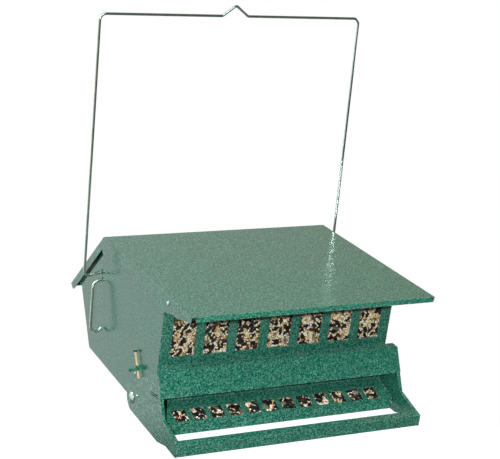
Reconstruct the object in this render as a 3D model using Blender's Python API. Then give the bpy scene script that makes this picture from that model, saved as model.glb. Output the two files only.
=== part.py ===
"""Hanging hopper bird feeder in folded sheet steel, with a lift-up roof and a sprung shield and perch.

Side views are laid out in two numbers, forward and height, counted from the lower rear corner of the
hopper's side panels. The finished model has its origin under the peak of the bail, where it hangs,
with +X to the feeder's right, -Y to the front and +Z up. All lengths are metres, all angles degrees.
"""

import math

import bmesh
import bpy
from mathutils import Matrix, Vector

# Sheet and fits
SHEET = 0.0010
ROOF_SHEET = 0.0009
SEAT = 0.0003
OVERRUN = 0.004
CORNER_RADIUS = 0.003
ARC_STEPS = 5
EAR_STEPS = 8

# Hopper body
BODY_WIDTH = 0.312
FLOOR_LENGTH = 0.2604
FLOOR_SLOPE = 13.5
REAR_WALL_LEAN = 18.0
TRAY_LIP_HEIGHT = 0.0140
TRAY_LIP_LEAN = 3.0
PORT_PANEL_LENGTH = 0.0361
PORT_PANEL_SLOPE = 31.4
WINDOW_UNDER_ROOF = 0.0073
WINDOW_PANEL_LEAN = 15.9
HEM = 0.008
SIDE_FLANGE = 0.008
FLANGE_SETBACK = 0.006
HINGE_EAR_ROOT = 0.0110

# Windows, pane and ports
WINDOW_COUNT = 7
WINDOW_BAR = 0.0117
WINDOW_END_MARGIN = 0.0127
WINDOW_SILL = 0.0595
WINDOW_HEAD = 0.0210
PANE_THICKNESS = 0.0015
PANE_LAP = 0.0065
CHANNEL_LIP = 0.0045
CHANNEL_BASE = 0.0026
PORT_COUNT = 12
PORT_BAR = 0.00608
PORT_END_MARGIN = 0.0152
PORT_START = 0.0142
PORT_LENGTH = 0.0198

# Seed slide
SLIDE_SLOPE = 27.6
SLIDE_FOOT_FORWARD = 0.118
SLIDE_FLANGE = 0.010
SLIDE_SIDE_GAP = 0.0016

# Roof
RIDGE_FORWARD = 0.069
RIDGE_HEIGHT = 0.154
ROOF_FRONT_PITCH = 12.4
ROOF_OVERHANG = 0.0812
ROOF_REAR_PITCH = 30.7
ROOF_REAR_LENGTH = 0.1506
ROOF_SIDE_GAP = 0.0021
FASCIA = 0.0059
FASCIA_LEAN = 10.3
REAR_FASCIA = 0.0042
FASCIA_SETBACK = 0.0050
CORNER_RELIEF = 0.0014
REAR_FLANGE_DEPTH = 0.0106
VENT_GAP = 0.0048
FRONT_FLANGE_DEPTH = 0.0222
FLANGE_STEP_SETBACK = 0.0055
FLANGE_NOTCH_AHEAD = 0.0120
FLANGE_NOTCH_RUN = 0.0110
FLANGE_NOTCH_DROP = 0.0018
FLANGE_TIP_RADIUS = 0.0056
FLANGE_END_RADIUS = 0.0060

# Roof hinge rivets
HINGE_AHEAD = 0.0164
HINGE_BELOW_ROOF = 0.0082
HINGE_SHANK_RADIUS = 0.0020
HINGE_HEAD_RADIUS = 0.0033
HINGE_HEAD_HEIGHT = 0.0017
HINGE_SHOULDER_RADIUS = 0.0034
HINGE_CLEARANCE = 0.0003

# Shield, arms and perch
PIVOT_BEHIND_CORNER = 0.0814
PIVOT_ABOVE_FLOOR = 0.0100
ARM_SIDE_GAP = 0.0062
ELBOW_REACH = 0.0961
ELBOW_DROP = 0.0070
SHIELD_LEAN = 14.1
SHIELD_RISE = 0.0569
SHIELD_FACE = 0.0321
SHIELD_LIP = 0.0082
SHIELD_LIP_TILT = 30.0
SHIELD_LIP_CHAMFER = 0.0028
SHELF_STOP_GAP = 0.0006
SHELF_RISE = 2.2
SHELF_TAB_START = 0.0067
SHELF_TAB_END = 0.0291
SHELF_SLOT_CLEARANCE = 0.0014
ARM_FLANGE = 0.0054
ARM_ELBOW_FLANGE = 0.0034
ARM_FLANGE_TOP_GAP = 0.0025
EAR_RADIUS = 0.0172
ARM_TAIL = 0.0182
ARM_TAIL_RISE = 0.0161
KEEL_DROP = 0.0291
KEEL_BACK = 0.0186
KEEL_FRONT = 0.0071
KEEL_FRONT_RISE = 0.0008
PERCH_REACH = 0.0454
PERCH_SLOPE = 27.1
PERCH_TOP = 0.0095
PERCH_END_GAP = 0.0006
PERCH_FACE = 0.0142
ARM_TIP = 0.0157
PERCH_FACE_LEAN = 16.7
PERCH_RETURN = 0.0075
PERCH_TIP_RADIUS = 0.003

# Pivot hardware
PIVOT_SHANK_RADIUS = 0.0030
PIVOT_CLEARANCE = 0.0003
PIVOT_HEAD_RADIUS = 0.0075
PIVOT_HEAD_HEIGHT = 0.0024
PIVOT_END = 0.0016
RECESS_LENGTH = 0.0050
RECESS_WIDTH = 0.0011
RECESS_DEPTH = 0.0011
SPACER_RADIUS = 0.0062
NUT_RADIUS = 0.0057
NUT_HEIGHT = 0.0050

# Counterbalance springs and their tabs
SPRING_WIRE = 0.0007
SPRING_RADIUS = 0.00160
SPRING_PITCH = 0.00125
SPRING_CURL_POINTS = 9
SPRING_STANDOFF = 0.0031
SPRING_TOP_FORWARD = 0.0016
SPRING_TOP_RISE = 0.0600
SPRING_FOOT_FORWARD = 0.0188
SPRING_FOOT_RISE = 0.0061
SPRING_END = 0.0028
SPRING_HOOK_TAIL = 0.0014
SPRING_HOLE_RADIUS = 0.0013
KEEPER_TAB_FORWARD = 0.0120
KEEPER_TAB_RISE = 0.0354
KEEPER_TAB_HEIGHT = 0.0064
KEEPER_TAB_REACH = 0.0080
REAR_TAB_BEHIND = 0.0127
REAR_TAB_RISE = 0.0294
REAR_TAB_HEIGHT = 0.0040
REAR_TAB_REACH = 0.0070

# Bail
BAIL_WIRE = 0.0034
BAIL_SIDE_CLEAR = 0.0196
BAIL_LEAN = 12.1
BAIL_RISE = 0.3282
BAIL_FOOT_DROP = 0.0048
BAIL_TOP_RADIUS = 0.0080
BAIL_FOOT_RADIUS = 0.0062
BAIL_HOOK_RADIUS = 0.0036
BAIL_PEAK_RISE = 0.0135
BAIL_PEAK_HALF_WIDTH = 0.0180
BAIL_PEAK_RADIUS = 0.0045
SLOT_FORWARD = 0.0532
SLOT_BELOW_RIDGE = 0.0462
SLOT_WIRE_SPAN = 0.0108
SLOT_SIDE_CLEARANCE = 0.0005
SLOT_TOP_CLEARANCE = 0.0022
SLOT_LOW_CLEARANCE = 0.0004
GRIP_OUT = 0.0123
GRIP_SPLAY = 0.0051
GRIP_DROP = 0.0658
GRIP_SHOULDER_RADIUS = 0.0105
GRIP_RADIUS = 0.0065
GRIP_TURN_RADIUS = 0.0040
GRIP_TURN = 0.0036
GRIP_END_GAP = 0.0005
GRIP_END_RISE = 0.0036

PAINT = (0.030, 0.200, 0.140)
ZINC = (0.62, 0.64, 0.62)
YELLOW_ZINC = (0.72, 0.66, 0.36)
CLEAR = (0.85, 0.90, 0.90)


def clear_scene():
    for old in list(bpy.data.objects):
        bpy.data.objects.remove(old, do_unlink=True)


def make_material(name, color, roughness, metallic):
    material = bpy.data.materials.new(name)
    material.use_nodes = True
    shader = material.node_tree.nodes["Principled BSDF"]
    shader.inputs["Base Color"].default_value = (*color, 1.0)
    shader.inputs["Roughness"].default_value = roughness
    shader.inputs["Metallic"].default_value = metallic
    return material


def point(forward, height):
    return Vector((forward, height))


def heading(angle):
    """Unit vector in the side view: 0 is forward, 90 is up."""
    return Vector((math.cos(math.radians(angle)), math.sin(math.radians(angle))))


def right_of(direction):
    """The side-view direction a quarter turn clockwise from another one."""
    return Vector((direction.y, -direction.x))


def meet(start, direction, other, other_direction):
    """Where two side-view lines cross."""
    across = direction.cross(other_direction)
    return start + direction * ((other - start).cross(other_direction) / across)


# Side view of the hopper
REAR_CORNER = point(0.0, 0.0)
FLOOR_LINE = heading(-FLOOR_SLOPE)
LIP_LINE = heading(90.0 - TRAY_LIP_LEAN)
PORT_LINE = heading(180.0 - PORT_PANEL_SLOPE)
WINDOW_LINE = heading(90.0 - WINDOW_PANEL_LEAN)
REAR_LINE = heading(90.0 + REAR_WALL_LEAN)
FRONT_CORNER = REAR_CORNER + FLOOR_LINE * FLOOR_LENGTH
LIP_TOP = FRONT_CORNER + LIP_LINE * TRAY_LIP_HEIGHT
BEND = LIP_TOP + PORT_LINE * PORT_PANEL_LENGTH

# Side view of the roof, which overhangs the window panel
UPRIGHT = heading(90.0)
RIDGE = point(RIDGE_FORWARD, RIDGE_HEIGHT)
FRONT_SLOPE = heading(-ROOF_FRONT_PITCH)
REAR_SLOPE = heading(180.0 + ROOF_REAR_PITCH)
UNDER_FRONT = right_of(FRONT_SLOPE)
WINDOW_TOP = meet(BEND, WINDOW_LINE, RIDGE + UNDER_FRONT * WINDOW_UNDER_ROOF, FRONT_SLOPE)
WINDOW_HEIGHT = (WINDOW_TOP - BEND).length - WINDOW_SILL - WINDOW_HEAD
FRONT_EAVE = meet(WINDOW_TOP + point(ROOF_OVERHANG, 0.0), UPRIGHT, RIDGE, FRONT_SLOPE)
REAR_EAVE = RIDGE + REAR_SLOPE * ROOF_REAR_LENGTH
HINGE = meet(
    WINDOW_TOP + point(HINGE_AHEAD, 0.0), UPRIGHT, RIDGE + UNDER_FRONT * HINGE_BELOW_ROOF, FRONT_SLOPE,
)
PANEL_UNDER_ROOF = ROOF_SHEET + SEAT
PANEL_UNDER_REAR = REAR_FLANGE_DEPTH + VENT_GAP
REAR_TOP = meet(
    REAR_CORNER, REAR_LINE,
    RIDGE - right_of(REAR_SLOPE) * PANEL_UNDER_REAR, REAR_SLOPE,
)

# Side view of the shield and perch, which turn about the pivot
PIVOT = meet(
    FRONT_CORNER - point(PIVOT_BEHIND_CORNER, 0.0), UPRIGHT,
    REAR_CORNER - right_of(FLOOR_LINE) * PIVOT_ABOVE_FLOOR, FLOOR_LINE,
)
ELBOW = PIVOT + point(ELBOW_REACH, -ELBOW_DROP)
SHIELD_LINE = heading(90.0 + SHIELD_LEAN)
PERCH_LINE = heading(-PERCH_SLOPE)
SHIELD_TOP = ELBOW + SHIELD_LINE * SHIELD_RISE
SHIELD_LOW = SHIELD_TOP - SHIELD_LINE * SHIELD_FACE
SHELF_LINE = heading(180.0 - SHELF_RISE)
SHELF_LIFT = right_of(SHELF_LINE)
SHELF_DEPTH = (
    meet(SHIELD_LOW + SHELF_LIFT * SHEET, SHELF_LINE, BEND, WINDOW_LINE) - SHIELD_LOW
).length - SHELF_STOP_GAP
PERCH_EDGE = ELBOW + PERCH_LINE * PERCH_REACH
PERCH_FACE_LINE = heading(-90.0 - PERCH_FACE_LEAN)
PERCH_LOW = PERCH_EDGE + PERCH_FACE_LINE * PERCH_FACE
ARM_TIP_LOW = PERCH_EDGE + PERCH_FACE_LINE * ARM_TIP

# Places across the width, for the side at +X
PANEL_OUT = BODY_WIDTH / 2
PANEL_IN = PANEL_OUT - SHEET
CROSS_HALF = PANEL_IN - SEAT
ROOF_HALF = PANEL_OUT + ROOF_SIDE_GAP + ROOF_SHEET
ARM_IN = PANEL_OUT + ARM_SIDE_GAP
ARM_OUT = ARM_IN + SHEET
BAIL_HALF = ROOF_HALF + BAIL_SIDE_CLEAR + BAIL_WIRE / 2

# The peak of the bail, under which the feeder hangs
SLOT_TOP_WIRE = point(SLOT_FORWARD, RIDGE_HEIGHT - SLOT_BELOW_RIDGE)
SLOT_LOW_WIRE = SLOT_TOP_WIRE - point(0.0, SLOT_WIRE_SPAN)
BAIL_FOOT = SLOT_TOP_WIRE - point(0.0, BAIL_FOOT_DROP)
BAIL_TOP = BAIL_FOOT + point(BAIL_RISE * math.tan(math.radians(BAIL_LEAN)), BAIL_RISE)
PEAK = BAIL_TOP + heading(90.0 - BAIL_LEAN) * BAIL_PEAK_RISE
HANG = PEAK - point(0.0, BAIL_WIRE / 2)


def place(x, spot):
    """The model's own coordinates of a side-view spot at a distance across the width."""
    return Vector((x, HANG.x - spot.x, spot.y - HANG.y))


def joint_axis(name, spot):
    axis = bpy.data.objects.new(name, None)
    axis.location = place(0.0, spot)
    bpy.context.scene.collection.objects.link(axis)
    return axis


def add_mesh(name, bm, material, parent=None, smooth=False):
    mesh = bpy.data.meshes.new(name)
    bm.to_mesh(mesh)
    bm.free()
    if smooth:
        mesh.shade_smooth()
        mesh.set_sharp_from_angle(angle=math.radians(35.0))
    if material:
        mesh.materials.append(material)
    piece = bpy.data.objects.new(name, mesh)
    bpy.context.scene.collection.objects.link(piece)
    if parent:
        piece.parent = parent
        piece.location = -parent.location
    return piece


def add_wire(name, path, diameter, resolution, material):
    curve = bpy.data.curves.new(name, "CURVE")
    curve.dimensions = "3D"
    curve.bevel_depth = diameter / 2
    curve.bevel_resolution = resolution
    curve.use_fill_caps = True
    spline = curve.splines.new("POLY")
    spline.points.add(len(path) - 1)
    for spot, item in zip(path, spline.points):
        item.co = (*spot, 1.0)
    curve.materials.append(material)
    wire = bpy.data.objects.new(name, curve)
    bpy.context.scene.collection.objects.link(wire)
    return wire


def rounded(corners, radii, steps=ARC_STEPS):
    """A chain or loop of points with an arc at each corner that has a radius."""
    path = []
    count = len(corners)
    for i, corner in enumerate(corners):
        radius = radii[i]
        if not radius:
            path.append(corner)
            continue
        before = (corners[i - 1] - corner).normalized()
        after = (corners[(i + 1) % count] - corner).normalized()
        half = before.angle(after) / 2
        reach = radius / math.tan(half)
        middle = corner + (before + after).normalized() * (radius / math.sin(half))
        start = corner + before * reach - middle
        end = corner + after * reach - middle
        sweep = start.angle(end)
        for k in range(steps + 1):
            t = k / steps
            path.append(
                middle + (start * math.sin((1 - t) * sweep) + end * math.sin(t * sweep)) / math.sin(sweep)
            )
    return path


def prism(outline, x_start, x_end):
    """A side-view outline carried across the width from one place to another."""
    bm = bmesh.new()
    ring = [bm.verts.new(place(x_start, spot)) for spot in outline]
    face = bm.faces.new(ring)
    moved = bmesh.ops.extrude_face_region(bm, geom=[face])["geom"]
    corners = [item for item in moved if isinstance(item, bmesh.types.BMVert)]
    bmesh.ops.translate(bm, verts=corners, vec=Vector((x_end - x_start, 0.0, 0.0)))
    bmesh.ops.recalc_face_normals(bm, faces=bm.faces)
    return bm


def turned(profile, spot, segments=24):
    """Places along X with radii, turned about a line across the width."""
    bm = bmesh.new()
    line = [bm.verts.new(place(x, spot + point(0.0, radius))) for x, radius in profile]
    edges = [bm.edges.new(pair) for pair in zip(line, line[1:])]
    bmesh.ops.spin(
        bm, geom=line + edges, cent=place(0.0, spot), axis=(1.0, 0.0, 0.0),
        angle=math.tau, steps=segments, use_merge=True, use_duplicate=False,
    )
    bmesh.ops.remove_doubles(bm, verts=bm.verts, dist=SEAT / 100)
    bmesh.ops.recalc_face_normals(bm, faces=bm.faces)
    return bm


def block(x_low, x_high, low, high):
    """A box between two places across the width and two side-view corners."""
    return prism([low, point(high.x, low.y), high, point(low.x, high.y)], x_low, x_high)


def use_tool(piece, bm, operation):
    """Cuts a shape out of a piece, or fuses one to it."""
    tool = add_mesh(f"{piece.name}_{operation.lower()}", bm, None)
    tool.hide_render = True
    tool.display_type = "WIRE"
    step = piece.modifiers.new(operation.title(), "BOOLEAN")
    step.operation = operation
    step.solver = "EXACT"
    step.object = tool


def solidify(piece, thickness):
    """Gives a folded skin its sheet thickness on the inside."""
    step = piece.modifiers.new("Sheet", "SOLIDIFY")
    step.solidify_mode = "NON_MANIFOLD"
    step.nonmanifold_thickness_mode = "CONSTRAINTS"
    step.nonmanifold_boundary_mode = "FLAT"
    step.nonmanifold_merge_threshold = SEAT / 10
    step.thickness = thickness
    step.offset = -1.0


def folded_skin(rows, columns, kept=None, flanges=()):
    """Cells between rows of the side view and columns of the width, with optional end flanges.

    A flange is a first row, a last row and a width: both ends turn inwards by it between the rows.
    """
    bm = bmesh.new()
    per_row = columns if isinstance(columns[0], (list, tuple)) else [columns] * len(rows)
    grid = [[bm.verts.new(place(x, spot)) for x in xs] for spot, xs in zip(rows, per_row)]
    for r in range(len(rows) - 1):
        for c in range(len(grid[r]) - 1):
            if kept is None or kept(r, c):
                bm.faces.new((grid[r][c], grid[r][c + 1], grid[r + 1][c + 1], grid[r + 1][c]))
    for first, last, width in flanges:
        inward = -right_of((rows[last] - rows[first]).normalized()) * width
        span = range(first, last + 1)
        for c, order in ((0, 1), (-1, -1)):
            x = per_row[first][c]
            edge = {r: bm.verts.new(place(x, rows[r] + inward)) for r in span}
            for r in span[:-1]:
                corners = [grid[r][c], grid[r + 1][c], edge[r + 1], edge[r]]
                bm.faces.new(corners[::order])
    loose = [vert for vert in bm.verts if not vert.link_faces]
    bmesh.ops.delete(bm, geom=loose, context="VERTS")
    return bm


def evenly(half, margin, count, bar):
    """Column places for a row of equal openings between bars, with a margin at each end."""
    width = (2 * (half - margin) - (count - 1) * bar) / count
    columns = [-half]
    for i in range(count):
        left = -half + margin + i * (width + bar)
        columns += [left, left + width]
    return columns + [half]


def side_panel(side, name, paint):
    """Flat end plate of the hopper, with its hinge ear, bail slot, spring hole and lanced tabs."""
    top = meet(
        RIDGE + UNDER_FRONT * PANEL_UNDER_ROOF, FRONT_SLOPE,
        RIDGE - right_of(REAR_SLOPE) * PANEL_UNDER_REAR, REAR_SLOPE,
    )
    ear_radius = HINGE_BELOW_ROOF - PANEL_UNDER_ROOF
    first = 90.0 - ROOF_FRONT_PITCH
    last = -90.0
    ear = [HINGE + heading(first + (last - first) * k / EAR_STEPS) * ear_radius for k in range(EAR_STEPS + 1)]
    ear_root = meet(HINGE - point(0.0, HINGE_EAR_ROOT), heading(0.0), BEND, WINDOW_LINE)
    corners = [REAR_CORNER, REAR_TOP, top, *ear, ear_root, BEND, LIP_TOP, FRONT_CORNER]
    radii = [CORNER_RADIUS, CORNER_RADIUS, 0] + [0] * (len(ear) + 4)
    outline = rounded(corners, radii)
    panel = add_mesh(name, prism(outline, side * PANEL_OUT, side * PANEL_IN), paint)
    tabs = (
        (point(KEEPER_TAB_FORWARD, KEEPER_TAB_RISE), KEEPER_TAB_HEIGHT, KEEPER_TAB_REACH),
        (point(-REAR_TAB_BEHIND, REAR_TAB_RISE), REAR_TAB_HEIGHT, REAR_TAB_REACH),
    )
    for offset, height, reach in tabs:
        low = PIVOT + offset
        high = low + point(SHEET, height)
        tab = block(side * (PANEL_OUT - SHEET / 2), side * (PANEL_OUT + reach), low, high)
        use_tool(panel, tab, "UNION")
    across = (side * (PANEL_IN - OVERRUN), side * (PANEL_OUT + OVERRUN))
    half_width = BAIL_WIRE / 2 + SLOT_SIDE_CLEARANCE
    slot_top = SLOT_TOP_WIRE + point(0.0, BAIL_WIRE / 2 + SLOT_TOP_CLEARANCE)
    slot_low = SLOT_LOW_WIRE - point(0.0, BAIL_WIRE / 2 + SLOT_LOW_CLEARANCE)
    aside = point(half_width, 0.0)
    slot = rounded(
        [slot_low - aside, slot_low + aside, slot_top + aside, slot_top - aside],
        [half_width - SEAT] * 4, 3,
    )
    use_tool(panel, prism(slot, *across), "DIFFERENCE")
    holes = (
        (PIVOT, PIVOT_SHANK_RADIUS + PIVOT_CLEARANCE),
        (HINGE, HINGE_SHANK_RADIUS + HINGE_CLEARANCE),
        (spring_top(), SPRING_HOLE_RADIUS),
    )
    for spot, radius in holes:
        use_tool(panel, bore(spot, radius, across), "DIFFERENCE")
    return panel


def bore(spot, radius, across, segments=24):
    """Solid rod across the width, for drilling."""
    start, end = across
    return turned([(start, 0.0), (start, radius), (end, radius), (end, 0.0)], spot, segments)


def spring_top():
    return PIVOT + point(SPRING_TOP_FORWARD, SPRING_TOP_RISE)


def spring_foot():
    return PIVOT + point(SPRING_FOOT_FORWARD, SPRING_FOOT_RISE)


def window_panel(paint):
    """Leaning front wall with a row of windows, a top hem and welding flanges."""
    columns = evenly(CROSS_HALF, WINDOW_END_MARGIN, WINDOW_COUNT, WINDOW_BAR)
    foot = BEND + WINDOW_LINE * (SHEET + SEAT)
    sill = BEND + WINDOW_LINE * WINDOW_SILL
    head = sill + WINDOW_LINE * WINDOW_HEIGHT
    hem = WINDOW_TOP - FRONT_SLOPE * HEM
    rows = [foot, foot + WINDOW_LINE * FLANGE_SETBACK * 3, sill, head, WINDOW_TOP, hem]

    def kept(r, c):
        return r != 2 or c % 2 == 0

    skin = folded_skin(rows, columns, kept, [(1, 3, SIDE_FLANGE)])
    panel = add_mesh("window_panel", skin, paint)
    solidify(panel, SHEET)
    return panel


def behind_window(depth, along):
    """A side-view spot behind the window panel's outer face."""
    return BEND + WINDOW_LINE * along - right_of(WINDOW_LINE) * depth


def window_pane(clear):
    """Clear sheet that closes the windows from inside."""
    half = CROSS_HALF - WINDOW_END_MARGIN + PANE_LAP
    front = SHEET + SEAT
    back = front + PANE_THICKNESS
    low = WINDOW_SILL - PANE_LAP
    high = WINDOW_SILL + WINDOW_HEIGHT + PANE_LAP
    outline = [
        behind_window(front, low), behind_window(front, high),
        behind_window(back, high), behind_window(back, low),
    ]
    return add_mesh("window_pane", prism(outline, -half, half), clear)


def pane_channel(side, name, paint):
    """Joggled strip that holds one edge of the pane against the window panel."""
    pane_edge = CROSS_HALF - WINDOW_END_MARGIN + PANE_LAP
    base_out = pane_edge + SEAT + CHANNEL_BASE
    lip_in = pane_edge - CHANNEL_LIP
    near = SHEET + SEAT
    far = near + PANE_THICKNESS + SEAT
    low = WINDOW_SILL - PANE_LAP
    high = WINDOW_SILL + WINDOW_HEIGHT + PANE_LAP
    section = [
        (base_out, near), (base_out, near + SHEET), (pane_edge + SEAT + SHEET, near + SHEET),
        (pane_edge + SEAT + SHEET, far + SHEET), (lip_in, far + SHEET), (lip_in, far),
        (pane_edge + SEAT, far), (pane_edge + SEAT, near),
    ]
    bm = bmesh.new()
    ring = [bm.verts.new(place(side * x, behind_window(depth, low))) for x, depth in section]
    face = bm.faces.new(ring)
    moved = bmesh.ops.extrude_face_region(bm, geom=[face])["geom"]
    corners = [item for item in moved if isinstance(item, bmesh.types.BMVert)]
    travel = place(0.0, behind_window(0.0, high)) - place(0.0, behind_window(0.0, low))
    bmesh.ops.translate(bm, verts=corners, vec=travel)
    bmesh.ops.recalc_face_normals(bm, faces=bm.faces)
    return add_mesh(name, bm, paint)


def port_panel(paint):
    """Sloping feeding face with a row of ports, folded down at the front into the tray's lip."""
    columns = evenly(CROSS_HALF, PORT_END_MARGIN, PORT_COUNT, PORT_BAR)
    inner_line = BEND - right_of(WINDOW_LINE) * (SHEET + SEAT)
    fold = meet(LIP_TOP, PORT_LINE, inner_line, WINDOW_LINE)
    start = BEND - PORT_LINE * PORT_START
    end = start - PORT_LINE * PORT_LENGTH
    rows = [FRONT_CORNER, LIP_TOP, end, start, fold, fold + WINDOW_LINE * HEM]

    def kept(r, c):
        return r != 2 or c % 2 == 0

    panel = add_mesh("port_panel", folded_skin(rows, columns, kept), paint)
    solidify(panel, SHEET)
    return panel


def rear_wall(paint):
    """Leaning back wall with a top hem and welding flanges."""
    foot = REAR_CORNER + REAR_LINE * CORNER_RADIUS
    top = REAR_TOP - REAR_LINE * (SHEET + SEAT)
    hem = top - REAR_SLOPE * HEM
    rows = [hem, top, top - REAR_LINE * FLANGE_SETBACK, foot + REAR_LINE * FLANGE_SETBACK * 2, foot]
    skin = folded_skin(rows, [-CROSS_HALF, CROSS_HALF], None, [(2, 3, SIDE_FLANGE)])
    wall = add_mesh("rear_wall", skin, paint)
    solidify(wall, SHEET)
    return wall


def floor_pan(paint):
    """Sloping bottom, turned up at the back, the front and along the sides clear of the pivots."""
    inside = SHEET + SEAT
    rear = meet(
        REAR_CORNER + right_of(REAR_LINE) * inside, REAR_LINE, REAR_CORNER, FLOOR_LINE,
    )
    front = meet(
        FRONT_CORNER - right_of(LIP_LINE) * inside, LIP_LINE, REAR_CORNER, FLOOR_LINE,
    )
    pivot_along = (PIVOT - REAR_CORNER).dot(FLOOR_LINE)
    clear = NUT_RADIUS * 2
    rows = [
        rear + REAR_LINE * HEM, rear, rear + FLOOR_LINE * FLANGE_SETBACK * 2,
        REAR_CORNER + FLOOR_LINE * (pivot_along - clear), REAR_CORNER + FLOOR_LINE * (pivot_along + clear),
        front - FLOOR_LINE * FLANGE_SETBACK * 2, front, front + LIP_LINE * HEM,
    ]
    skin = folded_skin(rows, [-CROSS_HALF, CROSS_HALF], None, [(2, 3, SIDE_FLANGE), (4, 5, SIDE_FLANGE)])
    pan = add_mesh("floor_pan", skin, paint)
    solidify(pan, SHEET)
    return pan


def seed_slide(paint):
    """Inner slope that runs the seed from the back wall down to the tray's throat."""
    half = CROSS_HALF - SLIDE_SIDE_GAP
    floor_top = REAR_CORNER - right_of(FLOOR_LINE) * (SHEET + SEAT)
    wall_in = REAR_CORNER + right_of(REAR_LINE) * (SHEET + SEAT)
    foot = meet(point(SLIDE_FOOT_FORWARD, 0.0), UPRIGHT, floor_top, FLOOR_LINE)
    head = meet(foot, heading(180.0 - SLIDE_SLOPE), wall_in, REAR_LINE)
    rows = [head + REAR_LINE * SLIDE_FLANGE, head, foot, foot + FLOOR_LINE * SLIDE_FLANGE]
    slide = add_mesh("seed_slide", folded_skin(rows, [-half, half]), paint)
    solidify(slide, SHEET)
    return slide


def roof(paint, parent):
    """One folded sheet: two slopes, a fascia at each eave and a deep flange down each side."""
    fascia_low = FRONT_EAVE + heading(-90.0 + FASCIA_LEAN) * FASCIA
    rear_low = REAR_EAVE - right_of(REAR_SLOPE) * REAR_FASCIA
    front_in = FRONT_EAVE - FRONT_SLOPE * CORNER_RELIEF
    rear_in = REAR_EAVE - REAR_SLOPE * CORNER_RELIEF
    rows = [fascia_low, FRONT_EAVE, front_in, RIDGE, rear_in, REAR_EAVE, rear_low]
    fascia_half = ROOF_HALF - FASCIA_SETBACK
    columns = [-ROOF_HALF, -fascia_half, fascia_half, ROOF_HALF]

    def kept(r, c):
        return c == 1 or r not in (0, len(rows) - 2)

    bm = folded_skin(rows, columns, kept)
    down_rear = -right_of(REAR_SLOPE) * REAR_FLANGE_DEPTH
    down_front = UNDER_FRONT * FRONT_FLANGE_DEPTH
    level = HINGE.y - HINGE_EAR_ROOT - SEAT
    step_top = meet(
        point(RIDGE.x - FLANGE_STEP_SETBACK, 0.0), UPRIGHT, RIDGE + down_rear, REAR_SLOPE,
    )
    step_low = meet(step_top, UPRIGHT, RIDGE + down_front, FRONT_SLOPE)
    knee = meet(RIDGE + down_front, FRONT_SLOPE, point(0.0, level), heading(0.0))
    notch_top = point(HINGE.x + FLANGE_NOTCH_AHEAD, level)
    notch_low = notch_top + point(FLANGE_NOTCH_RUN, -FLANGE_NOTCH_DROP)
    tip = point(front_in.x, notch_low.y)
    lower = rounded(
        [rear_in, rear_in + down_rear, step_top, step_low, knee, notch_top, notch_low, tip, front_in],
        [0, FLANGE_END_RADIUS, 0, CORNER_RADIUS, CORNER_RADIUS, 0, 0, FLANGE_TIP_RADIUS, 0],
    )[1:-1]
    bm.verts.ensure_lookup_table()
    for side in (-1, 1):
        top = []
        for spot in (front_in, RIDGE, rear_in):
            wanted = place(side * ROOF_HALF, spot)
            top.append(min(bm.verts, key=lambda vert: (vert.co - wanted).length))
        ring = top + [bm.verts.new(place(side * ROOF_HALF, spot)) for spot in lower]
        bm.faces.new(ring[:: -side])
    piece = add_mesh("roof", bm, paint, parent)
    solidify(piece, ROOF_SHEET)
    for side in (-1, 1):
        across = (side * (ROOF_HALF - OVERRUN / 2), side * (ROOF_HALF + OVERRUN))
        radius = HINGE_SHANK_RADIUS + HINGE_CLEARANCE
        use_tool(piece, bore(HINGE, radius, across), "DIFFERENCE")
    return piece


def hinge_rivet(side, name, zinc):
    """Shouldered rivet through the roof's flange and the hopper's ear."""
    flange_out = ROOF_HALF + SEAT
    flange_in = ROOF_HALF - ROOF_SHEET - SEAT
    panel_out = PANEL_OUT + SEAT
    panel_in = PANEL_IN - SEAT
    head = HINGE_HEAD_RADIUS
    dome = ((1.0, 0.0), (0.9, 0.5), (0.5, 0.86), (0.0, 1.0))
    tail = ((0.0, 1.0), (0.7, 0.8), (0.7, 0.0))
    profile = [(flange_out + HINGE_HEAD_HEIGHT * share, head * part) for share, part in dome]
    profile += [
        (flange_out, HINGE_SHANK_RADIUS), (flange_in, HINGE_SHANK_RADIUS),
        (flange_in, HINGE_SHOULDER_RADIUS), (panel_out, HINGE_SHOULDER_RADIUS),
        (panel_out, HINGE_SHANK_RADIUS), (panel_in, HINGE_SHANK_RADIUS),
    ]
    profile += [(panel_in - HINGE_HEAD_HEIGHT * share, head * part) for share, part in tail]
    return add_mesh(name, turned([(side * x, r) for x, r in profile], HINGE, 20), zinc, smooth=True)


def shield(paint, parent):
    """Shield face with a chamfered top lip and, below, a shelf whose end tabs fit the arms' slots."""
    shelf_half = ARM_OUT - ARM_FLANGE - SEAT
    lip_back = SHIELD_TOP + heading(180.0 - SHIELD_LIP_TILT) * SHIELD_LIP
    rows = [
        SHIELD_LOW + SHELF_LINE * SHELF_DEPTH, SHIELD_LOW + SHELF_LINE * SHELF_TAB_END,
        SHIELD_LOW + SHELF_LINE * SHELF_TAB_START, SHIELD_LOW, SHIELD_TOP, lip_back,
    ]
    plain = [-ARM_OUT, -shelf_half, shelf_half, ARM_OUT]
    chamfered = [-ARM_OUT + SHIELD_LIP_CHAMFER, -shelf_half, shelf_half, ARM_OUT - SHIELD_LIP_CHAMFER]

    def kept(r, c):
        return c == 1 or r not in (0, 2)

    skin = folded_skin(rows, [plain] * 5 + [chamfered], kept)
    piece = add_mesh("shield", skin, paint, parent)
    solidify(piece, SHEET)
    return piece


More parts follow.
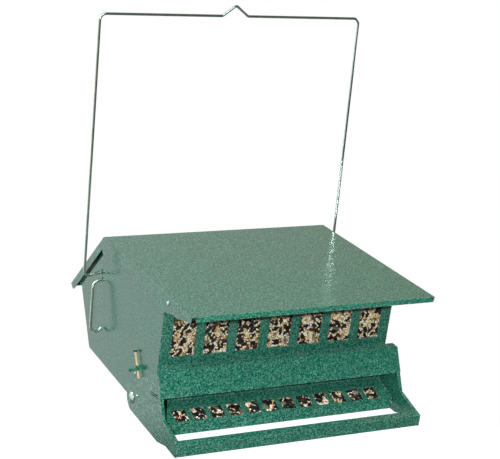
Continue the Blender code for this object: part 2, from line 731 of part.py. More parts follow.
def shield_arm(side, name, paint, parent):
    """Pivoting end plate that carries the shield and the perch, with a turned-in front flange."""
    behind = SHEET + SEAT
    face_line = SHIELD_TOP - right_of(SHIELD_LINE) * behind
    top = meet(face_line, SHIELD_LINE, SHIELD_TOP, heading(0.0)) - SHIELD_LINE * ARM_FLANGE_TOP_GAP
    elbow = meet(face_line, SHIELD_LINE, ELBOW, PERCH_LINE)
    flange_end = PERCH_EDGE - PERCH_LINE * (PERCH_TOP + PERCH_END_GAP)
    tail = PIVOT + point(-ARM_TAIL, ARM_TAIL_RISE)
    keel_rear = ELBOW + point(-KEEL_BACK, -KEEL_DROP)
    keel_front = ELBOW + point(KEEL_FRONT, -KEEL_DROP + KEEL_FRONT_RISE)
    start = tangent_angle(PIVOT, EAR_RADIUS, tail, -1)
    end = tangent_angle(PIVOT, EAR_RADIUS, keel_rear, 1)
    while end < start:
        end += 360.0
    ear = [PIVOT + heading(start + (end - start) * k / 8) * EAR_RADIUS for k in range(9)]
    tips = rounded([flange_end, PERCH_EDGE, ARM_TIP_LOW, keel_front], [0, 0, PERCH_TIP_RADIUS, 0])
    corner = rounded([ear[0], tail, top], [0, CORNER_RADIUS, 0])
    outline = [top, elbow, *tips, keel_rear, *reversed(ear[1:]), *corner[:-1]]
    bm = bmesh.new()
    ring = [bm.verts.new(place(side * ARM_OUT, spot)) for spot in outline]
    bm.faces.new(ring[::side])
    widths = (ARM_FLANGE, ARM_ELBOW_FLANGE, ARM_FLANGE)
    edge = [
        bm.verts.new(place(side * (ARM_OUT - width), spot)) for width, spot in zip(widths, outline)
    ]
    for k in range(2):
        quad = [ring[k + 1], ring[k], edge[k], edge[k + 1]]
        bm.faces.new(quad[::side])
    piece = add_mesh(name, bm, paint, parent)
    solidify(piece, SHEET)
    across = (side * (ARM_IN - OVERRUN / 2), side * (ARM_OUT + OVERRUN))
    use_tool(piece, bore(PIVOT, PIVOT_SHANK_RADIUS + PIVOT_CLEARANCE, across), "DIFFERENCE")
    use_tool(piece, bore(spring_foot(), SPRING_HOLE_RADIUS, across), "DIFFERENCE")
    near = SHIELD_LOW + SHELF_LINE * (SHELF_TAB_START - SEAT)
    far = SHIELD_LOW + SHELF_LINE * (SHELF_TAB_END + SEAT)
    below = SHELF_LIFT * -SHELF_SLOT_CLEARANCE
    above = SHELF_LIFT * (SHEET + SHELF_SLOT_CLEARANCE)
    use_tool(piece, prism([near + below, near + above, far + above, far + below], *across), "DIFFERENCE")
    return piece


def tangent_angle(centre, radius, outside, way):
    """Heading from a circle's centre to where the line from an outside spot touches it."""
    away = outside - centre
    bearing = math.degrees(math.atan2(away.y, away.x))
    return bearing - way * math.degrees(math.acos(radius / away.length))


def perch_bar(paint, parent):
    """Folded bar between the arms, with a top in line with their edges, a tall face and a lower return."""
    half = ARM_IN - SEAT
    inner = PERCH_EDGE - PERCH_LINE * PERCH_TOP
    under = PERCH_LOW - heading(-PERCH_FACE_LEAN) * PERCH_RETURN
    skin = folded_skin([under, PERCH_LOW, PERCH_EDGE, inner], [-half, half])
    piece = add_mesh("perch_bar", skin, paint, parent)
    solidify(piece, SHEET)
    return piece


def pivot_screw(side, name, zinc):
    """Large domed screw that the arm turns on, with a crossed recess."""
    head_in = ARM_OUT + SEAT
    head_out = head_in + PIVOT_HEAD_HEIGHT
    end = PANEL_IN - SEAT - NUT_HEIGHT - PIVOT_END
    radius = PIVOT_HEAD_RADIUS
    shares = ((1.0, 0.0), (0.94, 0.35), (0.78, 0.62), (0.5, 0.84), (0.2, 0.97), (0.0, 1.0))
    profile = [(head_out - PIVOT_HEAD_HEIGHT * (1 - share), radius * part) for share, part in shares]
    profile += [(head_in, PIVOT_SHANK_RADIUS), (end, PIVOT_SHANK_RADIUS), (end, 0.0)]
    screw = add_mesh(name, turned([(side * x, r) for x, r in profile], PIVOT), zinc, smooth=True)
    bottom = side * (head_out - RECESS_DEPTH)
    top = side * (head_out + OVERRUN)
    for across, up in ((RECESS_LENGTH, RECESS_WIDTH), (RECESS_WIDTH, RECESS_LENGTH)):
        size = point(across, up) / 2
        use_tool(screw, block(bottom, top, PIVOT - size, PIVOT + size), "DIFFERENCE")
    return screw


def pivot_spacer(side, name, zinc):
    """Sleeve that keeps the arm clear of the hopper."""
    bore_radius = PIVOT_SHANK_RADIUS + PIVOT_CLEARANCE
    inner = side * (PANEL_OUT + SEAT)
    outer = side * (ARM_IN - SEAT)
    ring = [(inner, bore_radius), (inner, SPACER_RADIUS), (outer, SPACER_RADIUS), (outer, bore_radius)]
    return add_mesh(name, turned(ring + ring[:1], PIVOT), zinc, smooth=True)


def pivot_nut(side, name, zinc):
    """Hexagon nut on the screw's inner end."""
    start = side * (PANEL_IN - SEAT)
    end = start - side * NUT_HEIGHT
    hexagon = [PIVOT + heading(30.0 + 60.0 * k) * NUT_RADIUS for k in range(6)]
    nut = add_mesh(name, prism(hexagon, start, end), zinc)
    across = (start + side * OVERRUN / 2, end - side * OVERRUN / 2)
    use_tool(nut, bore(PIVOT, PIVOT_SHANK_RADIUS + PIVOT_CLEARANCE, across, 20), "DIFFERENCE")
    return nut


def counter_spring(side, name, plating):
    """Extension spring from the hopper's hole down to the arm's, with a hooked wire end at each."""
    x_axis = side * (PANEL_OUT + SPRING_STANDOFF)
    inside = side * (PANEL_IN - SPRING_HOOK_TAIL)
    outside = side * (ARM_OUT + SPRING_HOOK_TAIL)
    top_pull = point(0.0, SPRING_WIRE / 2 + SEAT - SPRING_HOLE_RADIUS)
    high = place(x_axis, spring_top() + top_pull)
    low = place(x_axis, spring_foot() - top_pull)
    along = (low - high).normalized()
    coil_start = high + along * SPRING_END
    coil_end = low - along * SPRING_END
    length = (coil_end - coil_start).length
    curls = int(length / SPRING_PITCH)
    pitch = length / curls
    first = Vector((1.0, 0.0, 0.0))
    second = along.cross(first)
    helix = []
    for k in range(curls * SPRING_CURL_POINTS + 1):
        turn = math.tau * k / SPRING_CURL_POINTS
        ring = (first * math.cos(turn) + second * math.sin(turn)) * SPRING_RADIUS
        helix.append(coil_start + along * (pitch * k / SPRING_CURL_POINTS) + ring)
    bend = SPRING_WIRE * 1.2
    path = [
        Vector((inside, high.y, high.z)), Vector((x_axis - side * bend, high.y, high.z)),
        high + along * bend, coil_start - along * bend,
        *helix,
        coil_end + along * bend, low - along * bend,
        Vector((x_axis + side * bend, low.y, low.z)), Vector((outside, low.y, low.z)),
    ]
    report_gap(name, helix, SPRING_CURL_POINTS)
    return add_wire(name, path, SPRING_WIRE, 1, plating)


def report_gap(name, helix, per_curl):
    """Prints the least clear distance between a coil's neighbouring curls."""
    least = min(
        (helix[i] - helix[j]).length
        for i in range(len(helix))
        for j in range(i + per_curl - 2, min(i + per_curl + 3, len(helix)))
    )
    print(f"{name}: least gap between curls {(least - SPRING_WIRE) * 1000:.2f} mm")


def bail(zinc):
    """Hanging wire: a peaked top bar, two legs, and ends that hook through slots into finger grips."""
    wire_out = PANEL_OUT + BAIL_WIRE / 2
    hook_in = PANEL_IN - BAIL_WIRE / 2 - SLOT_SIDE_CLEARANCE
    grip_x = PANEL_OUT + GRIP_OUT
    grip_low = SLOT_LOW_WIRE - point(0.0, GRIP_DROP)
    end_x = wire_out + GRIP_END_GAP
    corners = [
        (end_x, grip_low + point(0.0, GRIP_END_RISE)),
        (end_x + GRIP_TURN, grip_low),
        (grip_x + GRIP_SPLAY, grip_low),
        (grip_x, SLOT_LOW_WIRE),
        (hook_in, SLOT_LOW_WIRE),
        (hook_in, SLOT_TOP_WIRE),
        (BAIL_HALF, BAIL_FOOT),
        (BAIL_HALF, BAIL_TOP),
        (BAIL_PEAK_HALF_WIDTH, BAIL_TOP),
        (0.0, PEAK),
    ]
    bends = [
        0.0, GRIP_TURN_RADIUS, GRIP_RADIUS, GRIP_SHOULDER_RADIUS, BAIL_HOOK_RADIUS,
        BAIL_HOOK_RADIUS, BAIL_FOOT_RADIUS, BAIL_TOP_RADIUS, BAIL_PEAK_RADIUS, BAIL_PEAK_RADIUS,
    ]
    left = [place(-x, spot) for x, spot in corners]
    right = [place(x, spot) for x, spot in corners[-2::-1]]
    path = rounded(left + right, bends + bends[-2::-1], 6)
    return add_wire("bail", path, BAIL_WIRE, 3, zinc)


def build():
    clear_scene()
    paint = make_material("hammered_green_paint", PAINT, 0.35, 0.2)
    zinc = make_material("zinc_plate", ZINC, 0.3, 0.9)
    plating = make_material("yellow_zinc_plate", YELLOW_ZINC, 0.35, 0.7)
    clear = make_material("clear_acrylic", CLEAR, 0.05, 0.0)
    roof_axis = joint_axis("roof_hinge_axis", HINGE)
    pivot_axis = joint_axis("shield_pivot_axis", PIVOT)
    rear_wall(paint)
    floor_pan(paint)
    seed_slide(paint)
    window_panel(paint)
    window_pane(clear)
    port_panel(paint)
    roof(paint, roof_axis)
    shield(paint, pivot_axis)
    perch_bar(paint, pivot_axis)
    bail(zinc)
    for side, word in ((-1, "left"), (1, "right")):
        side_panel(side, f"side_panel_{word}", paint)
        pane_channel(side, f"pane_channel_{word}", paint)
        shield_arm(side, f"shield_arm_{word}", paint, pivot_axis)
        hinge_rivet(side, f"hinge_rivet_{word}", zinc)
        pivot_screw(side, f"pivot_screw_{word}", zinc)
        pivot_spacer(side, f"pivot_spacer_{word}", zinc)
        pivot_nut(side, f"pivot_nut_{word}", zinc)
        counter_spring(side, f"counter_spring_{word}", plating)


build()
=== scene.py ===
# Hanging steel bird feeder: green hammered powder coat, zinc plated wire, mixed seed behind clear windows
import math
import random

import bmesh
import bpy
from mathutils import Euler, Matrix, Vector, noise


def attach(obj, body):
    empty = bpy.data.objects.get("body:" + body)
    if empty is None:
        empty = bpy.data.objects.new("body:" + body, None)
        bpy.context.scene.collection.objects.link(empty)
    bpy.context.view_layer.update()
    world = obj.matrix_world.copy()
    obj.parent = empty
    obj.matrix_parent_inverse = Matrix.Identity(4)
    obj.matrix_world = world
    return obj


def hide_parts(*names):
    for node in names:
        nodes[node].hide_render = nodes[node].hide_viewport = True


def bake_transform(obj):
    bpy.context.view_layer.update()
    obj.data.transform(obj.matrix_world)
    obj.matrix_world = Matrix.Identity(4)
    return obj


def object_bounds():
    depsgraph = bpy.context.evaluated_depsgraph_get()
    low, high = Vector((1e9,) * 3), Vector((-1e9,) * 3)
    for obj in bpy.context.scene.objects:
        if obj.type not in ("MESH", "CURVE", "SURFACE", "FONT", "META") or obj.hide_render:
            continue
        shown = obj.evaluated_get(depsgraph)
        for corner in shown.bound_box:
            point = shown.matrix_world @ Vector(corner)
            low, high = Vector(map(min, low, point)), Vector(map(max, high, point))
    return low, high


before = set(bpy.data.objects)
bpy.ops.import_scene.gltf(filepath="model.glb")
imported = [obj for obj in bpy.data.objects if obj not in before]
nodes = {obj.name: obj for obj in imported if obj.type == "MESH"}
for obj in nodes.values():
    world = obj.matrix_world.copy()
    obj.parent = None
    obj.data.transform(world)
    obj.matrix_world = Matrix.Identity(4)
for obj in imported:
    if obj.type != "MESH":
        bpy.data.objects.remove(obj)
mm = 0.001
cadBox = [[float(number) for number in corner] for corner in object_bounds()]
print("frame loaded with", len(nodes), "parts")

# Side-view places are in millimetres, forward and up from the lower rear corner of the hopper's side
# panels, as the sheets are laid out. The world's origin is under the peak of the bail.
layout = {
    "hang": (126.390, 442.700),  # the world's origin
    "windowFoot": (223.125, -28.0),  # where the window panel bends into the port panel
    "windowLean": 15.9,  # degrees that the window panel leans forward
    "portSlope": 31.4,  # degrees that the port panel falls towards the front
    "pivot": (171.805, -30.963),  # what the shield and the perch turn on
    "springTop": (173.4, 29.0),
    "springFoot": (190.6, -24.9),
    "panelOut": 156.0,  # outer face of a side panel, from the middle of the feeder
    "armOut": 163.2,  # outer face of a shield arm
}
sides = {"left": -1, "right": 1}


def spot(across, forward, height):
    return Vector((across, layout["hang"][0] - forward, height - layout["hang"][1])) * mm


# Matrix of a sheet's own axes: across the feeder, up the slope and out of the sheet
def sheetAxes(forward, height, slope):
    upSlope = Vector((0.0, -math.cos(math.radians(slope)), math.sin(math.radians(slope))))
    across = Vector((1.0, 0.0, 0.0))
    turn = Matrix((across, upSlope, across.cross(upSlope))).transposed()
    return Matrix.Translation(spot(0.0, forward, height)) @ turn.to_4x4() @ Matrix.Scale(mm, 4)


# Colours are written as sRGB hex, and shader nodes take them linear
def colour(code):
    channels = [int(code[k:k + 2], 16) / 255 for k in (0, 2, 4)]
    linear = [c / 12.92 if c <= 0.04045 else ((c + 0.055) / 1.055) ** 2.4 for c in channels]
    return (*linear, 1.0)


def newMaterial(name):
    material = bpy.data.materials.new(name)
    material.use_nodes = True
    tree = material.node_tree
    return material, tree, tree.nodes["Principled BSDF"]


# Settings are a node's properties, its sockets' values, or a ramp's stops as a place and a hex colour.
# Links feed its sockets.
def addNode(tree, kind, settings=None, links=None):
    node = tree.nodes.new(kind)
    for key, value in (settings or {}).items():
        if key == "stops":
            while len(node.color_ramp.elements) < len(value):
                node.color_ramp.elements.new(0.5)
            for element, (place, code) in zip(node.color_ramp.elements, value):
                element.position = place
                element.color = colour(code)
        elif isinstance(key, str) and hasattr(node, key):
            setattr(node, key, value)
        else:
            node.inputs[key].default_value = value
    for key, source in (links or {}).items():
        tree.links.new(source, node.inputs[key])
    return node


# Sizes and depths in the finishes below are millimetres. This gives the scale of a texture at which one
# cell of its pattern is about that size.
def cell(size):
    return 1.0 / (size * mm)


# Hammered silver-vein powder coat baked on sheet steel. The eye gets a dark teal ground with a dense
# speckle of pale leafing flakes, a painted highlight along rounded edges where they catch the light, and a
# pebbled gloss that mirrors what stands near it.
paintLook = {
    "ground": [(0.36, "0F4436"), (0.50, "1E6B57"), (0.68, "5FA590")],
    "veinSize": 2.0,
    "roughness": (0.13, 0.26),
    "flake": "C9E6DA",
    "flakeSize": 1.7,
    "flakeChosen": (0.70, 0.98),  # of the cells' random values, where flakes begin and where they are full
    "flakeReach": (0.45, 0.12),  # out from a cell's middle, where its flake begins and where it is full
    # Painted highlight: rounded sheet edges are made paler, as if catching the light, broken up by the
    # vein's noise
    "edgeSize": 0.9,
    "edgeTurn": (0.98, 0.80),  # of the rounded normal along the flat one, where the painted edge highlight begins and is full
    "edgeBreak": (0.42, 0.60),  # of the vein's noise, where the painted edge highlight begins and where it is full
    "edgeHighlightLevel": 0.55,
    "peelSize": 1.7,
    "peelDepth": 0.05,
}


def makePaint():
    material, tree, shader = newMaterial("hammered_green_powder_coat")
    look = paintLook
    place = addNode(tree, "ShaderNodeTexCoord").outputs["Object"]
    vein = addNode(
        tree, "ShaderNodeTexNoise",
        {"Scale": cell(look["veinSize"]), "Detail": 3.0, "Roughness": 0.7}, {"Vector": place},
    ).outputs["Fac"]
    ground = addNode(tree, "ShaderNodeValToRGB", {"stops": look["ground"]}, {"Fac": vein}).outputs["Color"]
    flake = addNode(tree, "ShaderNodeTexVoronoi", {"Scale": cell(look["flakeSize"])}, {"Vector": place})
    pick = addNode(tree, "ShaderNodeSeparateColor", links={"Color": flake.outputs["Color"]})
    begins, full = look["flakeChosen"]
    chosen = addNode(
        tree, "ShaderNodeMapRange", {"From Min": begins, "From Max": full}, {"Value": pick.outputs["Red"]},
    ).outputs["Result"]
    begins, full = look["flakeReach"]
    core = addNode(
        tree, "ShaderNodeMapRange", {"From Min": begins, "From Max": full},
        {"Value": flake.outputs["Distance"]},
    ).outputs["Result"]
    flakes = addNode(
        tree, "ShaderNodeMath", {"operation": "MULTIPLY"}, {0: chosen, 1: core},
    ).outputs["Value"]
    rounded = addNode(
        tree, "ShaderNodeBevel", {"samples": 6, "Radius": look["edgeSize"] * mm},
    ).outputs["Normal"]
    flat = addNode(tree, "ShaderNodeNewGeometry").outputs["Normal"]
    turned = addNode(
        tree, "ShaderNodeVectorMath", {"operation": "DOT_PRODUCT"}, {0: rounded, 1: flat},
    ).outputs["Value"]
    begins, full = look["edgeTurn"]
    edge = addNode(
        tree, "ShaderNodeMapRange", {"From Min": begins, "From Max": full, "To Max": look["edgeHighlightLevel"]},
        {"Value": turned},
    ).outputs["Result"]
    begins, full = look["edgeBreak"]
    broken = addNode(
        tree, "ShaderNodeMapRange", {"From Min": begins, "From Max": full}, {"Value": vein},
    ).outputs["Result"]
    # Painted highlight: where the rounded normal turns off the flat one, the colour goes towards the pale
    # flake colour
    paintedEdgeHighlight = addNode(tree, "ShaderNodeMath", {"operation": "MULTIPLY"}, {0: edge, 1: broken}).outputs["Value"]
    bright = addNode(tree, "ShaderNodeMath", {"operation": "MAXIMUM"}, {0: flakes, 1: paintedEdgeHighlight}).outputs["Value"]
    mixed = addNode(
        tree, "ShaderNodeMix", {"data_type": "RGBA", 7: colour(look["flake"])}, {0: bright, 6: ground},
    ).outputs[2]
    low, high = look["roughness"]
    rough = addNode(tree, "ShaderNodeMapRange", {"To Min": low, "To Max": high}, {"Value": vein})
    peel = addNode(
        tree, "ShaderNodeTexNoise",
        {"Scale": cell(look["peelSize"]), "Detail": 1.0, "Roughness": 0.5}, {"Vector": place},
    ).outputs["Fac"]
    bump = addNode(
        tree, "ShaderNodeBump", {"Strength": 1.0, "Distance": look["peelDepth"] * mm}, {"Height": peel},
    )
    tree.links.new(mixed, shader.inputs["Base Color"])
    tree.links.new(flakes, shader.inputs["Metallic"])
    tree.links.new(rough.outputs["Result"], shader.inputs["Roughness"])
    tree.links.new(bump.outputs["Normal"], shader.inputs["Normal"])
    shader.inputs["IOR"].default_value = 1.5
    return material


# Bright zinc plate on drawn wire and turned steel. The eye gets a pale, slightly green metal in soft
# clouds, dark where the room is dark, with a hard streak where a lamp meets it. The drawing marks are all
# but flat, because at this size deeper ones break the streak into specks.
zincLook = {
    "tint": "BFD2C9", "dull": "9FB5AB", "cloudSize": 11.0, "drawSize": 2.4, "drawDepth": 0.0002,
    "roughness": (0.12, 0.18), "metallic": 0.90, "clouds": (0.30, 0.60),
}
# Yellow zinc plate on the spring wire. The eye gets a pale straw colour, satin and finely drawn.
springLook = {
    "tint": "F2E6BC", "dull": "DCCB94", "cloudSize": 5.0, "drawSize": 1.0, "drawDepth": 0.01,
    "roughness": (0.28, 0.42), "metallic": 0.35, "clouds": (0.30, 0.60),
}


def makePlate(name, look):
    material, tree, shader = newMaterial(name)
    place = addNode(tree, "ShaderNodeTexCoord").outputs["Object"]
    cloud = addNode(
        tree, "ShaderNodeTexNoise", {"Scale": cell(look["cloudSize"]), "Detail": 4.0, "Roughness": 0.6},
        {"Vector": place},
    ).outputs["Fac"]
    dullTo, brightFrom = look["clouds"]
    base = addNode(
        tree, "ShaderNodeValToRGB", {"stops": [(dullTo, look["dull"]), (brightFrom, look["tint"])]},
        {"Fac": cloud},
    )
    low, high = look["roughness"]
    rough = addNode(tree, "ShaderNodeMapRange", {"To Min": high, "To Max": low}, {"Value": cloud})
    draw = addNode(
        tree, "ShaderNodeTexNoise", {"Scale": cell(look["drawSize"]), "Detail": 2.0}, {"Vector": place},
    ).outputs["Fac"]
    bump = addNode(
        tree, "ShaderNodeBump", {"Strength": 1.0, "Distance": look["drawDepth"] * mm}, {"Height": draw},
    )
    tree.links.new(base.outputs["Color"], shader.inputs["Base Color"])
    tree.links.new(rough.outputs["Result"], shader.inputs["Roughness"])
    tree.links.new(bump.outputs["Normal"], shader.inputs["Normal"])
    shader.inputs["Metallic"].default_value = look["metallic"]
    return material


# Extruded clear acrylic. The eye gets the seed through it, with a faint film of seed dust and some shine.
clearLook = {
    "tint": "2A302D", "dustSize": 9.0, "dust": (0.4, 0.75), "film": (0.02, 0.05), "roughness": 0.06,
}


def makeClear():
    material, tree, shader = newMaterial("clear_acrylic_sheet")
    place = addNode(tree, "ShaderNodeTexCoord").outputs["Object"]
    dust = addNode(
        tree, "ShaderNodeTexNoise", {"Scale": cell(clearLook["dustSize"]), "Detail": 5.0, "Roughness": 0.7},
        {"Vector": place},
    )
    clean, dusty = clearLook["dust"]
    low, high = clearLook["film"]
    film = addNode(
        tree, "ShaderNodeMapRange", {"From Min": clean, "From Max": dusty, "To Min": low, "To Max": high},
        {"Value": dust.outputs["Fac"]},
    )
    tree.links.new(film.outputs["Result"], shader.inputs["Alpha"])
    shader.inputs["Base Color"].default_value = colour(clearLook["tint"])
    shader.inputs["Roughness"].default_value = clearLook["roughness"]
    shader.inputs["IOR"].default_value = 1.49
    return material


# Dry seed. Each seed has a tone of its own, read from its mesh, and the eye gets pale husks that are
# satin and a little streaked, among black hulls with a dull shine.
seedLook = {
    # white millet in its husk, with some grains yellow, red or brown
    "millet_husk": {
        "stops": [
            (0.0, "FFFFF8"), (0.36, "FFF6DA"), (0.54, "F2DFAC"), (0.68, "D8BC70"), (0.75, "C8A844"),
            (0.80, "D4AA8A"), (0.88, "F0E0B4"), (0.94, "C0562E"), (0.975, "54402C"),
        ],
        "grain": 0.8, "roughness": 0.22, "depth": 0.06,
    },
    # black sunflower hulls, a few of them greyed or striped
    "sunflower_hull": {
        "stops": [(0.0, "090808"), (0.60, "12100F"), (0.86, "1E1A18"), (0.95, "4A4138"), (1.0, "9A8E7C")],
        "grain": 0.9, "roughness": 0.55, "depth": 0.10,
    },
    # bare sunflower kernels, cream to toasted
    "hulled_kernel": {
        "stops": [(0.0, "FAF2DC"), (0.45, "E6D6AE"), (0.75, "CDB684"), (0.92, "A67C50")],
        "grain": 1.1, "roughness": 0.5, "depth": 0.10,
    },
}
seedStreak = {"swing": 0.30, "bump": 0.6}  # how far a streak shifts a seed's tone, and how it stands out


def makeSeed(name):
    look = seedLook[name]
    material, tree, shader = newMaterial(name)
    tone = addNode(tree, "ShaderNodeAttribute", {"attribute_name": "tone"}).outputs["Fac"]
    place = addNode(tree, "ShaderNodeTexCoord").outputs["Object"]
    streak = addNode(
        tree, "ShaderNodeTexNoise", {"Scale": cell(look["grain"]), "Detail": 2.0}, {"Vector": place},
    ).outputs["Fac"]
    swing = seedStreak["swing"]
    shade = addNode(
        tree, "ShaderNodeMath", {"operation": "MULTIPLY_ADD", 1: swing, 2: -swing / 2.0}, {0: streak},
    )
    pushed = addNode(
        tree, "ShaderNodeMath", {"operation": "ADD", "use_clamp": True},
        {0: tone, 1: shade.outputs["Value"]},
    )
    base = addNode(tree, "ShaderNodeValToRGB", {"stops": look["stops"]}, {"Fac": pushed.outputs["Value"]})
    bump = addNode(
        tree, "ShaderNodeBump", {"Strength": seedStreak["bump"], "Distance": look["depth"] * mm},
        {"Height": streak},
    )
    tree.links.new(base.outputs["Color"], shader.inputs["Base Color"])
    tree.links.new(bump.outputs["Normal"], shader.inputs["Normal"])
    shader.inputs["Roughness"].default_value = look["roughness"]
    return material


# Seed seen as a mass between single seeds. The eye gets small pale and black cells, with painted shade in
# the gaps between them.
packedLook = {
    "stops": [(0.0, "120F0D"), (0.58, "1C1814"), (0.62, "A08A5C"), (0.86, "C4AE7C"), (0.96, "8E4A28")],
    "cellSize": 3.2, "gap": (0.30, 0.65), "paintedGapShade": "0E0B09", "depth": 0.8, "roughness": 0.55,
}


def makePacked():
    material, tree, shader = newMaterial("packed_mixed_seed")
    place = addNode(tree, "ShaderNodeTexCoord").outputs["Object"]
    size = cell(packedLook["cellSize"])
    grain = addNode(tree, "ShaderNodeTexVoronoi", {"Scale": size}, {"Vector": place})
    pick = addNode(tree, "ShaderNodeSeparateColor", links={"Color": grain.outputs["Color"]})
    base = addNode(tree, "ShaderNodeValToRGB", {"stops": packedLook["stops"]}, {"Fac": pick.outputs["Red"]})
    begins, full = packedLook["gap"]
    # Painted shade: towards each cell's edge the colour goes dark, as shade between grains
    gap = addNode(
        tree, "ShaderNodeMapRange", {"From Min": begins, "From Max": full},
        {"Value": grain.outputs["Distance"]},
    )
    mixed = addNode(
        tree, "ShaderNodeMix", {"data_type": "RGBA", 7: colour(packedLook["paintedGapShade"])},
        {0: gap.outputs["Result"], 6: base.outputs["Color"]},
    )
    bump = addNode(
        tree, "ShaderNodeBump", {"Strength": 1.0, "Distance": packedLook["depth"] * mm, "invert": True},
        {"Height": grain.outputs["Distance"]},
    )
    tree.links.new(mixed.outputs[2], shader.inputs["Base Color"])
    tree.links.new(bump.outputs["Normal"], shader.inputs["Normal"])
    shader.inputs["Roughness"].default_value = packedLook["roughness"]
    return material


# Matt black with a fine grain, on the short sleeves near the tops of the springs.
mattBlackLook = {"tint": "0B0B0B", "roughness": 0.6, "grain": 1.5, "depth": 0.02}


def makeMattBlack():
    material, tree, shader = newMaterial("matt_black_sleeve")
    place = addNode(tree, "ShaderNodeTexCoord").outputs["Object"]
    grain = addNode(tree, "ShaderNodeTexNoise", {"Scale": cell(mattBlackLook["grain"])}, {"Vector": place})
    bump = addNode(
        tree, "ShaderNodeBump", {"Distance": mattBlackLook["depth"] * mm}, {"Height": grain.outputs["Fac"]},
    )
    tree.links.new(bump.outputs["Normal"], shader.inputs["Normal"])
    shader.inputs["Base Color"].default_value = colour(mattBlackLook["tint"])
    shader.inputs["Roughness"].default_value = mattBlackLook["roughness"]
    return material


paint = makePaint()
zinc = makePlate("bright_zinc_plated_steel", zincLook)
springSteel = makePlate("yellow_zinc_plated_spring_steel", springLook)
clear = makeClear()
seedFinish = {name: makeSeed(name) for name in seedLook}
packed = makePacked()
mattBlack = makeMattBlack()
zincNodes = ("bail", "hinge_rivet", "pivot_screw", "pivot_spacer", "pivot_nut")
for name, node in nodes.items():
    finish = paint
    if name.startswith("counter_spring"):
        finish = springSteel
    elif name.startswith(zincNodes):
        finish = zinc
    elif name == "window_pane":
        finish = clear
    node.data.materials.clear()
    node.data.materials.append(finish)
print("finishes are on", len(nodes), "parts")


# Puts a finished bmesh into the scene, with its place in its mesh
def addPiece(name, bm, finish, smooth=True):
    mesh = bpy.data.meshes.new(name)
    bm.to_mesh(mesh)
    bm.free()
    mesh.polygons.foreach_set("use_smooth", [smooth] * len(mesh.polygons))
    mesh.materials.append(finish)
    piece = bpy.data.objects.new(name, mesh)
    bpy.context.scene.collection.objects.link(piece)
    return piece


# Seeds, one low shape for each kind, since thousands of them lie in the hopper
seedShape = {
    "millet": {"finish": "millet_husk", "size": (2.9, 2.5, 2.2), "taper": 0.0, "round": True},
    "sunflower": {"finish": "sunflower_hull", "size": (12.4, 6.6, 3.8), "taper": 0.55, "round": False},
    "kernel": {"finish": "hulled_kernel", "size": (7.0, 3.6, 2.6), "taper": 0.45, "round": False},
}
taperStart = -0.1  # of a seed's length, from its middle


def seedMesh(kind):
    shape = seedShape[kind]
    bm = bmesh.new()
    if shape["round"]:
        bmesh.ops.create_icosphere(bm, subdivisions=1, radius=0.5)
    else:
        bmesh.ops.create_uvsphere(bm, u_segments=8, v_segments=6, radius=0.5)
        bmesh.ops.rotate(bm, verts=bm.verts, matrix=Matrix.Rotation(math.radians(90.0), 3, "Y"))
    for corner in bm.verts:
        thin = 1.0 - shape["taper"] * max(0.0, corner.co.x - taperStart)
        corner.co.y *= thin
        corner.co.z *= thin
    bmesh.ops.scale(bm, verts=bm.verts, vec=shape["size"])
    bmesh.ops.recalc_face_normals(bm, faces=bm.faces)
    mesh = bpy.data.meshes.new("one_" + kind)
    bm.to_mesh(mesh)
    bm.free()
    mesh.attributes.new("tone", "FLOAT", "POINT")
    return mesh


# Each place is where a seed lies on its bed, in the bed's own millimetres, its turn, its size and tone
def pourSeed(name, kind, bed, places):
    seed = seedMesh(kind)
    rest = [value for corner in seed.vertices for value in corner.co]
    bm = bmesh.new()
    for at, turn, size, tone in places:
        seed.vertices.foreach_set("co", rest)
        seed.attributes["tone"].data.foreach_set("value", [tone] * len(seed.vertices))
        seed.transform(bed @ Matrix.Translation(at) @ turn.to_matrix().to_4x4() @ Matrix.Scale(size, 4))
        bm.from_mesh(seed)
    bpy.data.meshes.remove(seed)
    piece = addPiece(name, bm, seedFinish[seedShape[kind]["finish"]])
    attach(piece, "hopper")


# Long seeds are thrown at random, thicker where the noise is high, and kept a gap off each other. Each
# counts as three spots: its middle, and a share of the gap out to either side along its length.
throwLook = {"clumpSize": (13.0, 10.0), "spotShare": 0.55, "nearGaps": 3.0}


def throwLong(draw, box, look):
    left, right, low, high = box
    clumpAcross, clumpUp = throwLook["clumpSize"]
    kept = []
    for _ in range(look["throws"]):
        middle = Vector((draw.uniform(left, right), draw.uniform(low, high)))
        clump = noise.noise(Vector((middle.x / clumpAcross, middle.y / clumpUp, look["clumpSlice"])))
        if draw.random() > look["share"] + look["clumping"] * clump:
            continue
        turn = draw.uniform(0.0, math.pi)
        reach = Vector((math.cos(turn), math.sin(turn))) * look["gap"]
        ends = (middle - reach, middle + reach)
        if not all(left < end.x < right and low < end.y < high for end in ends):
            continue
        spots = (middle - reach * throwLook["spotShare"], middle, middle + reach * throwLook["spotShare"])
        near = [other for other in kept if (other[0] - middle).length < look["gap"] * throwLook["nearGaps"]]
        if all((a - b).length > look["gap"] for other in near for a in spots for b in other[2]):
            kept.append((middle, turn, spots))
    return kept


# Small seeds lie on a jittered honeycomb, less what the long seeds cover. Buckets find what is near.
latticeLook = {"rowShare": 0.87, "bucket": 6.0}


